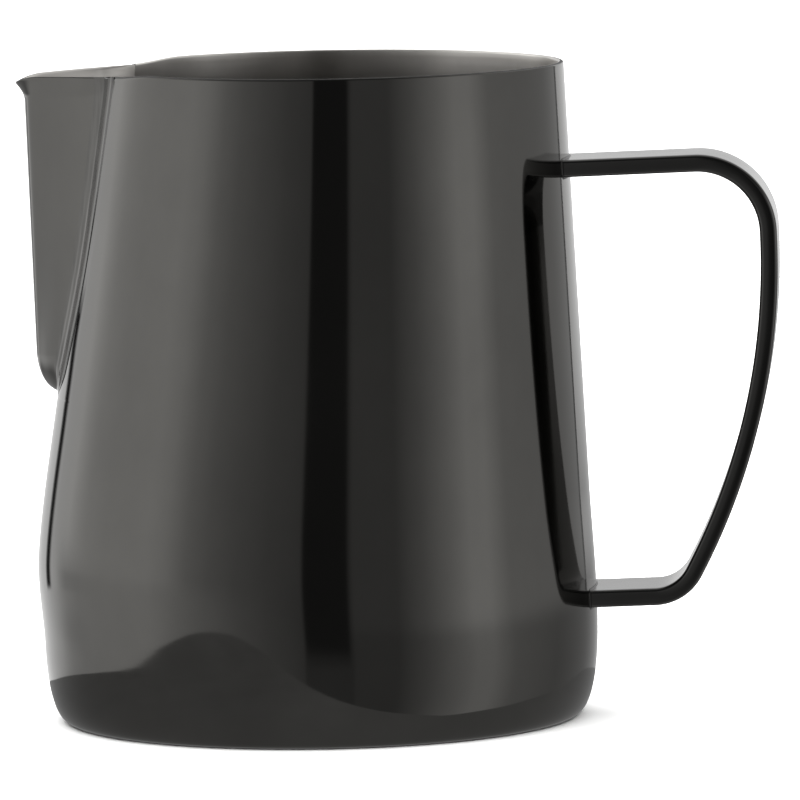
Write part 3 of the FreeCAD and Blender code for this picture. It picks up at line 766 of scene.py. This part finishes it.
def build_spout_weld():
    share = np.linspace(0, 1, BEAD_STEPS + 1)
    slopes = np.radians(np.interp(share, *np.array(WELD_SLOPES).T))
    level = settled(EDGE_Z, 0.0)
    normals = cup_normal(level, EDGE_ANGLE)
    body = cup_point(level, EDGE_ANGLE)
    flank, out = spout_point(SEAM_Z, SPOUT_START, 0.0)
    beyond, _out = spout_point(SEAM_Z, SPOUT_START + TANGENT_STEP, 0.0)
    out = np.concatenate([out, np.zeros((len(out), 1))], 1)
    chord = flank - body
    length = np.linalg.norm(chord, axis=1)
    along = unit(chord)
    outward = normals + out
    outward = unit(outward - np.sum(outward * along, 1, keepdims=True) * along)
    leave = unit(along - np.sum(along * normals, 1, keepdims=True) * normals)
    start = np.clip(tilt(leave, outward, along), -LEAN_LIMIT, LEAN_LIMIT)
    end = np.clip(tilt(unit(beyond - flank), outward, along), -LEAN_LIMIT, LEAN_LIMIT)
    corner = cup_point(settled(INNER_Z, 0.0), INNER_ANGLE, WALL)
    inner_start, _out = spout_point(SEAM_Z, 0 * SEAM_Z, WALL)
    inner_flank, _out = spout_point(SEAM_Z, SPOUT_START, WALL)
    inner_flank = inner_flank + (corner - inner_start) * seam_pull(SPOUT_START)
    inner_body = cup_point(level, EDGE_ANGLE, WALL)
    rows = []
    for k in range(SEAM_STEPS):
        # The bead is flatter where it is narrow, and on the cup's side near the rim.
        below_rim = min(1.0, (CUP_HEIGHT - SEAM_Z[k]) / RIM_SLOPE_REACH)
        cup_side = RIM_SLOPE_SHARE + (1 - RIM_SLOPE_SHARE) * below_rim
        strength = min(1.0, length[k] / FULL_SLOPE_WIDTH) * np.where(share < RIM_SLOPE_SIDE, cup_side, 1.0)
        rise = bead_rise(share, start[k], end[k], slopes * strength)
        row = body[k] + chord[k] * share[:, None] + outward[k] * (rise * length[k])[:, None]
        # The back lies just outside the inner skins of spout and cup.
        middle = unit(normals[k] + out[k])
        back = [inner_flank[k] + out[k] * SKIN_GAP, corner[k] + middle * SKIN_GAP,
                inner_body[k] + normals[k] * SKIN_GAP]
        rows.append(np.concatenate([row, back]))
    # Both ends are level with the rim on one side and with the pouring lip on the other.
    front = slice(0, BEAD_STEPS + 1)
    rim = float(settled(CUP_HEIGHT, 0.0)) - 0.02
    lip = min(LIP_HEIGHT, float(flank[0][2]))
    rows[0][front, 2] = rim + (lip - rim) * share
    rows[0][BEAD_STEPS + 1:, 2] = np.array([lip, (lip + rim) / 2, rim]) - 0.9 * RIM_ROUND
    near = [row * np.array([1, -1, 1]) for row in rows[-2::-1]]
    near[-1][front, 2] -= NEAR_NOTCH * np.clip(1 - ((share - NOTCH_PLACE) / NOTCH_WIDTH) ** 2, 0, 1)
    rows[0][front, 2] -= FAR_DIP * np.sin(math.pi * share)
    # Painted shade: the groove and the valley take the darker materials.
    kinds = np.zeros(rows[0].shape[0], int)
    middle = (np.arange(BEAD_STEPS) + 0.5) / BEAD_STEPS
    kinds[:BEAD_STEPS][middle < GROOVE_SHARE] = 1
    kinds[:BEAD_STEPS][(middle > VALLEY_SHARES[0]) & (middle < VALLEY_SHARES[1])] = 2
    return grid_mesh("spout_weld_bead", rows + near, [WELD_STEEL, GROOVE_PAINTED_SHADE_STEEL, VALLEY_PAINTED_SHADE_STEEL],
                     close_rows=True, column_material=kinds.tolist(), cap_ends=True)


# ------------------------------------------------------------------ handle
UPPER_STEPS, LOWER_STEPS = 24, 16
CORNER_PARTS, THICKNESS_PARTS, WIDTH_PARTS = 8, 10, 14


def straight_run(x, z, direction, length, steps, count):
    """Points along a straight stretch of the strap's centre line."""
    return [(x + math.cos(direction) * length * step / steps, z + math.sin(direction) * length * step / steps,
             direction) for step in range(count)]


def strap_path():
    """Centre line of the strap as (x, z, direction) from the upper foot to the lower one."""
    direction = math.radians(UPPER_ANGLE)
    points = straight_run(FOOT_X, UPPER_FOOT_HEIGHT, direction, UPPER_RUN, UPPER_STEPS, UPPER_STEPS)
    x = FOOT_X + math.cos(direction) * UPPER_RUN
    z = UPPER_FOOT_HEIGHT + math.sin(direction) * UPPER_RUN
    for radius, turn, steps in BENDS:
        centre_x = x + math.sin(direction) * radius
        centre_z = z - math.cos(direction) * radius
        for step in range(steps):
            now = direction - math.radians(turn) * step / steps
            points.append((centre_x - math.sin(now) * radius, centre_z + math.cos(now) * radius, now))
        direction -= math.radians(turn)
        x = centre_x - math.sin(direction) * radius
        z = centre_z + math.cos(direction) * radius
    return points + straight_run(x, z, direction, LOWER_RUN, LOWER_STEPS, LOWER_STEPS + 1)


def strap_outline():
    """Rounded rectangle with slightly crowned edges, as (across thickness, across width, normal, normal)."""
    half_t = STRAP_THICKNESS / 2
    half_w = STRAP_WIDTH / 2
    corner = STRAP_ROUND
    signs = ((1, 1), (-1, 1), (-1, -1), (1, -1))
    outline = []
    for quadrant, (sign_t, sign_w) in enumerate(signs):
        for step in range(CORNER_PARTS + 1):
            turn = math.pi / 2 * (quadrant + step / CORNER_PARTS)
            normal_t, normal_w = math.cos(turn), math.sin(turn)
            outline.append((sign_t * (half_t - corner) + corner * normal_t,
                            sign_w * (half_w - corner) + corner * normal_w, normal_t, normal_w))
        next_t, next_w = signs[(quadrant + 1) % 4]
        across, along, normal_t, normal_w = outline[-1]
        goal_across = next_t * (half_t - corner) + corner * normal_t
        goal_along = next_w * (half_w - corner) + corner * normal_w
        parts = WIDTH_PARTS if quadrant % 2 else THICKNESS_PARTS
        for part in range(1, parts):
            t = part / parts
            outline.append((across + (goal_across - across) * t, along + (goal_along - along) * t,
                            normal_t, normal_w))
    return [(a, b + math.copysign(STRAP_CROWN * (1 - (a / half_t) ** 2) * abs(nb), b), na, nb)
            for a, b, na, nb in outline]


def wall_x(y, z):
    """X of the cup's outer wall on the handle side at this y and z."""
    x = RIM_RADIUS
    for _ in range(PASSES):
        angle = math.atan2(y, -x)
        radius = float(surface_radius(z, angle))
        x = math.sqrt(radius * radius - y * y)
    return x


# Centre-line points nearer the axis than this are left out; the strap's ends are set on the wall instead.
UPPER_TRIM, LOWER_TRIM, LOWER_FOOT_TOP = 41.2, 44.9, 30.0


def build_handle():
    outline = strap_outline()
    rows = []
    for x, z, direction in strap_path():
        if x < (LOWER_TRIM if z < LOWER_FOOT_TOP else UPPER_TRIM):
            continue
        nx, nz = -math.sin(direction), math.cos(direction)
        rows.append([(x + nx * a, b, z + nz * a) for a, b, _na, _nb in outline])
    rows = np.array(rows)
    closing = [rows[0].copy(), rows[-1].copy()]
    for middle in closing:
        middle[:, 2] = (middle[:, 2].max() + middle[:, 2].min()) / 2
    rows = np.concatenate([closing[:1], rows, closing[1:]])
    for end in (0, 1, -2, -1):
        for point in rows[end]:
            point[0] = wall_x(point[1], point[2]) - STRAP_SINK
    return grid_mesh("handle_strap", rows, [BAR_STEEL], close_rows=True)


def foot_line(upper):
    """Height of the strap's centre line near a foot, as a function of x."""
    path = strap_path()
    x, z, direction = path[0] if upper else path[-1]
    return lambda at: z + math.tan(direction) * (at - x)


FILLET_STEPS = 10
FILLET_START_X = 43.0
ROOT_DEPTH, WALL_DEPTH = 0.25, 0.3
ROOT_OFFSET, SKIN_OFFSET = 0.02, 0.005


def build_foot_weld(name, upper):
    """Small hollow fillet all round the strap where it meets the cup."""
    level = foot_line(upper)
    into_wall = np.array([WALL_DEPTH, 0, 0])
    rows = []
    for a, b, na, nb in strap_outline():
        start_x = wall_x(b, level(FILLET_START_X) + a)
        z_here = level(start_x) + a
        corner = np.array([wall_x(b, z_here) - ROOT_OFFSET, b, z_here])
        wall_y = b + nb * FOOT_FILLET
        wall_z = z_here + na * FOOT_FILLET
        on_wall = np.array([wall_x(wall_y, wall_z) + SKIN_OFFSET, wall_y, wall_z])
        on_strap = corner + np.array([FOOT_FILLET, 0.0, 0.0])
        on_strap[2] = level(on_strap[0]) + a
        on_strap[1] += nb * SKIN_OFFSET
        row = []
        for step in range(FILLET_STEPS + 1):
            t = step / FILLET_STEPS
            row.append((1 - t) ** 2 * on_wall + 2 * (1 - t) * t * corner + t * t * on_strap)
        inward = np.array([0.0, nb, na]) * ROOT_DEPTH
        row += [on_strap - inward, corner - inward - into_wall, on_wall - into_wall]
        rows.append(row)
    rows.append(rows[0])
    return grid_mesh(name, rows, [FOOT_PAINTED_SHADE_STEEL], close_rows=True)


# ------------------------------------------------------------------ pieces
def stand_for(piece, node_name):
    """The piece stands in for a CAD node, which is hidden, and hangs from the root body."""
    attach(piece, "root")
    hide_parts(node_name)


stand_for(build_cup(), "body_shell")
stand_for(build_spout(), "spout")
stand_for(build_spout_weld(), "spout_weld")
stand_for(build_handle(), "handle")
stand_for(build_foot_weld("foot_weld_upper", upper=True), "handle_weld_upper")
stand_for(build_foot_weld("foot_weld_lower", upper=False), "handle_weld_lower")


# ------------------------------------------------------------------ floor
FLOOR_RADIUS, FLOOR_LEVEL, CARD_LEVEL = 12.0, -0.0001, -0.00005


def build_floor():
    material, tree, shader = new_material("pale_floor", (0.86, 0.86, 0.855), 0.0, 0.75)
    grain = stretched_noise(tree, stretch=(1, 1, 1), scale=9.0, detail=3.0)
    colour = tinted(tree, grain.outputs["Fac"], (0.85, 0.85, 0.845), (0.875, 0.875, 0.87))
    tree.links.new(colour.outputs["Result"], shader.inputs["Base Color"])
    shader.inputs["Specular IOR Level"].default_value = 0.1
    mesh = bpy.data.meshes.new("floor")
    build = bmesh.new()
    bmesh.ops.create_circle(build, cap_ends=True, segments=96, radius=FLOOR_RADIUS)
    build.to_mesh(mesh)
    build.free()
    floor = bpy.data.objects.new("floor", mesh)
    floor.location.z = FLOOR_LEVEL
    bpy.context.collection.objects.link(floor)
    mesh.materials.append(material)
    floor.visible_glossy = False


build_floor()


# ------------------------------------------------------------------ light
CAMERA_AZIMUTH = 4.3

# Brightness of the soft surroundings by compass direction, in degrees from the camera: + is to the right.
LEVEL_ROUND = (
    (-180, 0.88), (-172, 0.76), (-160, 0.93), (-151.5, 1.07), (-150, 0.02), (-145.5, 0.02), (-144, 0.97),
    (-140, 0.98), (-132, 1.20), (-127, 1.33), (-112, 1.06), (-98, 1.01), (-74, 1.04), (-65, 0.90),
    (-55, 0.60), (-45, 0.44), (-34, 0.34), (-20, 0.24), (-6.4, 0.19), (-5.6, 0.042), (12.0, 0.042),
    (13.0, 0.18), (32, 0.18), (44, 0.36), (56, 0.62), (66, 0.90), (75, 0.92), (86, 0.62), (116, 0.52),
    (130, 0.47), (145.6, 0.50), (146.4, 0.03),
)
# Past this direction, at the back on the right, it is evenly bright.
RIGHT_EDGE, RIGHT_LEVEL = 147.5, 0.88
LEVEL_BELOW = (
    (-180, 0.90), (-160, 0.93), (-151.5, 1.07), (-150, 0.02), (-145.5, 0.02), (-144, 1.0), (-138, 1.06),
    (-132, 0.86), (-128, 0.75), (-118, 0.80), (-108, 0.87), (-95, 0.94), (-74, 0.93), (-60, 0.72),
    (-48, 0.54), (-34, 0.37), (-20, 0.25), (-6.4, 0.17), (-5.6, 0.042), (12.0, 0.042), (13.0, 0.15),
    (32, 0.155), (44, 0.29), (56, 0.48), (68, 0.66), (76, 0.66), (88, 0.42), (116, 0.28), (144, 0.30),
    (160, 0.42), (175, 0.60),
)
LEVEL_LOW_LEFT = ((-180, 1.0), (-160, 1.0), (-146, 1.02), (-138, 1.00), (-128, 0.86), (-118, 0.84),
                  (-100, 0.91))
TOP_LEVEL = 1.7

# Where one stretch of the surroundings gives way to the next, as the upward part of a unit direction.
RISE_LEFT, RISE_RIGHT = (-0.10, 0.01), (-0.105, -0.065)
LOW_LEFT_END, LOW_LEFT_FALL = -100, (-0.128, -0.142)
LEAST_LEVEL, LEAST_FALL = 0.12, (-0.12, -0.18)
CORNER_DIM, CORNER_TURN, CORNER_FALL = 0.66, (-1.9, -2.3), (-0.16, -0.26)
BEHIND_DIM, BEHIND_DEPTH, BEHIND_RISE = 0.2, (-0.88, -0.96), (0.03, 0.08)
UNDER_LEVEL, UNDER_RISE = 0.40, (-0.90, -0.70)
CEILING_FRONT, CEILING_BACK, CEILING_DEPTH, CEILING_RISE = 0.05, 0.85, (0.55, -0.5), (0.30, 0.50)


def build_world():
    """Surroundings whose brightness is set by direction: a pale tent with dark gaps, as steel mirrors it."""
    world = bpy.data.worlds.new("studio")
    bpy.context.scene.world = world
    world.use_nodes = True
    tree = world.node_tree
    background = tree.nodes["Background"]
    coords = node(tree, "ShaderNodeTexCoord")
    split = node(tree, "ShaderNodeSeparateXYZ")
    tree.links.new(coords.outputs["Generated"], split.inputs["Vector"])

    def maths(operation, *values):
        item = node(tree, "ShaderNodeMath", operation=operation)
        for index, value in enumerate(values):
            if isinstance(value, (int, float)):
                item.inputs[index].default_value = value
            else:
                tree.links.new(value, item.inputs[index])
        return item.outputs[0]

    def levels(table, end=180):
        """Brightness by azimuth, from a table that runs from half a turn to the left to this direction."""
        span = end + 180
        ramp = node(tree, "ShaderNodeValToRGB")
        elements = ramp.color_ramp.elements
        for index, (degrees, level) in enumerate(table):
            place = (degrees + 180) / span
            element = elements[index] if index < 2 else elements.new(place)
            element.position = place
            shade = level / TOP_LEVEL
            element.color = (shade, shade, shade, 1)
        along = maths("MULTIPLY_ADD", azimuth, math.degrees(1) / span, 180 / span)
        tree.links.new(along, ramp.inputs["Fac"])
        return maths("MULTIPLY", ramp.outputs["Color"], TOP_LEVEL)

    def step(value, low, high):
        item = node(tree, "ShaderNodeMapRange", interpolation_type="SMOOTHSTEP")
        item.inputs["From Min"].default_value = low
        item.inputs["From Max"].default_value = high
        tree.links.new(value, item.inputs["Value"])
        return item.outputs["Result"]

    def blend(first, second, factor):
        return maths("ADD", maths("MULTIPLY", first, maths("SUBTRACT", 1.0, factor)),
                     maths("MULTIPLY", second, factor))

    def dimmed(level, share, amount):
        return maths("MULTIPLY", level, maths("MULTIPLY_ADD", share, -amount, 1.0))

    turn = math.radians(CAMERA_AZIMUTH)
    x, y, z = split.outputs
    right = maths("ADD", maths("MULTIPLY", x, math.cos(turn)), maths("MULTIPLY", y, math.sin(turn)))
    front = maths("SUBTRACT", maths("MULTIPLY", x, math.sin(turn)), maths("MULTIPLY", y, math.cos(turn)))
    azimuth = maths("ARCTAN2", right, front)
    # Round the horizon, and below it, where each side gives way to the lower levels at its own height.
    past_edge = maths("GREATER_THAN", azimuth, math.radians(RIGHT_EDGE))
    upper = blend(levels(LEVEL_ROUND), RIGHT_LEVEL, past_edge)
    on_right = maths("GREATER_THAN", azimuth, 0.0)
    rise = blend(step(z, *RISE_LEFT), step(z, *RISE_RIGHT), on_right)
    level = blend(levels(LEVEL_BELOW), upper, rise)
    at_left = maths("LESS_THAN", azimuth, math.radians(LOW_LEFT_END))
    low_left = maths("MULTIPLY", at_left, step(z, *LOW_LEFT_FALL))
    level = blend(level, levels(LEVEL_LOW_LEFT, end=LOW_LEFT_END), low_left)
    level = blend(level, maths("MAXIMUM", level, LEAST_LEVEL), step(z, *LEAST_FALL))
    # Dimmer low down at the back left, and just above the horizon right behind the object.
    back_left = maths("MULTIPLY", step(azimuth, *CORNER_TURN), step(z, *CORNER_FALL))
    level = dimmed(level, back_left, CORNER_DIM)
    behind = maths("MULTIPLY", step(front, *BEHIND_DEPTH), step(z, *BEHIND_RISE))
    level = dimmed(level, behind, BEHIND_DIM)
    level = blend(UNDER_LEVEL, level, step(z, *UNDER_RISE))
    # Overhead it is dark in front of the object and pale behind it.
    ceiling = blend(CEILING_FRONT, CEILING_BACK, step(front, *CEILING_DEPTH))
    level = blend(level, ceiling, step(z, *CEILING_RISE))
    tree.links.new(level, background.inputs["Color"])
    background.inputs["Strength"].default_value = 1.0


build_world()

# Reach of the dim patch of table round the object, in millimetres, by compass direction.
PATCH_OUTLINE = (
    (-180, 60), (-140, 65), (-115, 70), (-95, 85), (-80, 96), (-65, 107), (-55, 126), (-43, 163), (-32, 178),
    (-20, 148), (-10, 108), (-3, 82), (5, 66), (15, 57), (30, 52), (50, 54), (80, 60), (110, 75), (140, 70),
    (180, 60),
)


PATCH_HOLE, PATCH_SOFTNESS, PATCH_POINTS = 1.0, 4, 241
PATCH_DARK, PATCH_LIGHT = 0.235, 0.29


def table_card(name, dark, light, inner, outer, degrees):
    """Flat glowing card on the table between two outlines; only reflections see it."""
    material = bpy.data.materials.new(name)
    material.use_nodes = True
    tree = material.node_tree
    tree.nodes.remove(tree.nodes["Principled BSDF"])
    glow = node(tree, "ShaderNodeEmission")
    grain = stretched_noise(tree, stretch=(1, 1, 1), scale=14.0, detail=3.0)
    colour = tinted(tree, grain.outputs["Fac"], (dark,) * 3, (light,) * 3)
    tree.links.new(colour.outputs["Result"], glow.inputs["Color"])
    tree.links.new(glow.outputs["Emission"], tree.nodes["Material Output"].inputs["Surface"])
    turn = np.radians(degrees + CAMERA_AZIMUTH)
    mesh = bpy.data.meshes.new(name)
    build = bmesh.new()
    rings = []
    for reach in (inner, outer):
        rings.append([build.verts.new((r * MM * math.sin(t), -r * MM * math.cos(t), 0.0))
                      for r, t in zip(reach, turn)])
    for index in range(len(degrees) - 1):
        build.faces.new((rings[0][index], rings[1][index], rings[1][index + 1], rings[0][index + 1]))
    build.to_mesh(mesh)
    build.free()
    mesh.materials.append(material)
    card = bpy.data.objects.new(name, mesh)
    card.location.z = CARD_LEVEL
    bpy.context.collection.objects.link(card)
    card.visible_camera = False
    card.visible_diffuse = False
    card.visible_transmission = False
    card.visible_shadow = False


def patch_reach(degrees):
    """Outline of the patch with its corners softened."""
    outline = np.array(PATCH_OUTLINE, float).T
    reach = np.interp(degrees, *outline)
    before = np.interp(degrees - PATCH_SOFTNESS, *outline)
    after = np.interp(degrees + PATCH_SOFTNESS, *outline)
    return (before + 2 * reach + after) / 4


full_turn = np.linspace(-180, 180, PATCH_POINTS)
table_card("dim_table", PATCH_DARK, PATCH_LIGHT, np.full(PATCH_POINTS, PATCH_HOLE), patch_reach(full_turn),
           full_turn)


def soft_light(name, place, target, size, energy):
    """Large soft lamp that reflections don't show."""
    data = bpy.data.lights.new(name, "AREA")
    data.shape = "RECTANGLE"
    data.size, data.size_y = size
    data.energy = energy
    lamp = bpy.data.objects.new(name, data)
    lamp.location = place
    lamp.rotation_euler = (Vector(target) - Vector(place)).to_track_quat("-Z", "Y").to_euler()
    lamp.visible_glossy = False
    bpy.context.collection.objects.link(lamp)


soft_light("overhead_soft", (0.0, 0.6, 2.0), (0, 0.6, 0), (5.0, 5.0), 300.0)


# ------------------------------------------------------------------ camera
CAMERA_DISTANCE, CAMERA_ELEVATION, CAMERA_ROLL = 1500.0, 5.487, 0.978
LENS, SENSOR = 408.312, 36.0
# The camera looks a little to the right of the cup's middle and below it, as shares of the distance.
AIM_RIGHT, AIM_DOWN = 0.0091000, 0.0010635


def build_camera():
    distance, elevation, roll = CAMERA_DISTANCE, math.radians(CAMERA_ELEVATION), math.radians(CAMERA_ROLL)
    turn = math.radians(CAMERA_AZIMUTH)
    place = Vector((distance * math.cos(elevation) * math.sin(turn),
                    -distance * math.cos(elevation) * math.cos(turn),
                    CUP_HEIGHT / 2 + distance * math.sin(elevation)))
    forward = (Vector((0, 0, CUP_HEIGHT / 2)) - place).normalized()
    side = forward.cross(Vector((0, 0, 1))).normalized()
    up = side.cross(forward)
    right = side * math.cos(roll) - up * math.sin(roll)
    upright = side * math.sin(roll) + up * math.cos(roll)
    aim = (forward + right * AIM_RIGHT - upright * AIM_DOWN).normalized()
    right = aim.cross(upright).normalized()
    upright = right.cross(aim)
    data = bpy.data.cameras.new("camera")
    data.sensor_width = SENSOR
    data.lens = LENS
    data.clip_start = 0.05
    data.clip_end = 60.0
    camera = bpy.data.objects.new("camera", data)
    camera.matrix_world = Matrix((
        (right.x, upright.x, -aim.x, place.x * MM),
        (right.y, upright.y, -aim.y, place.y * MM),
        (right.z, upright.z, -aim.z, place.z * MM),
        (0, 0, 0, 1)))
    bpy.context.collection.objects.link(camera)
    bpy.context.scene.camera = camera


build_camera()
bpy.context.scene.view_settings.view_transform = "Standard"
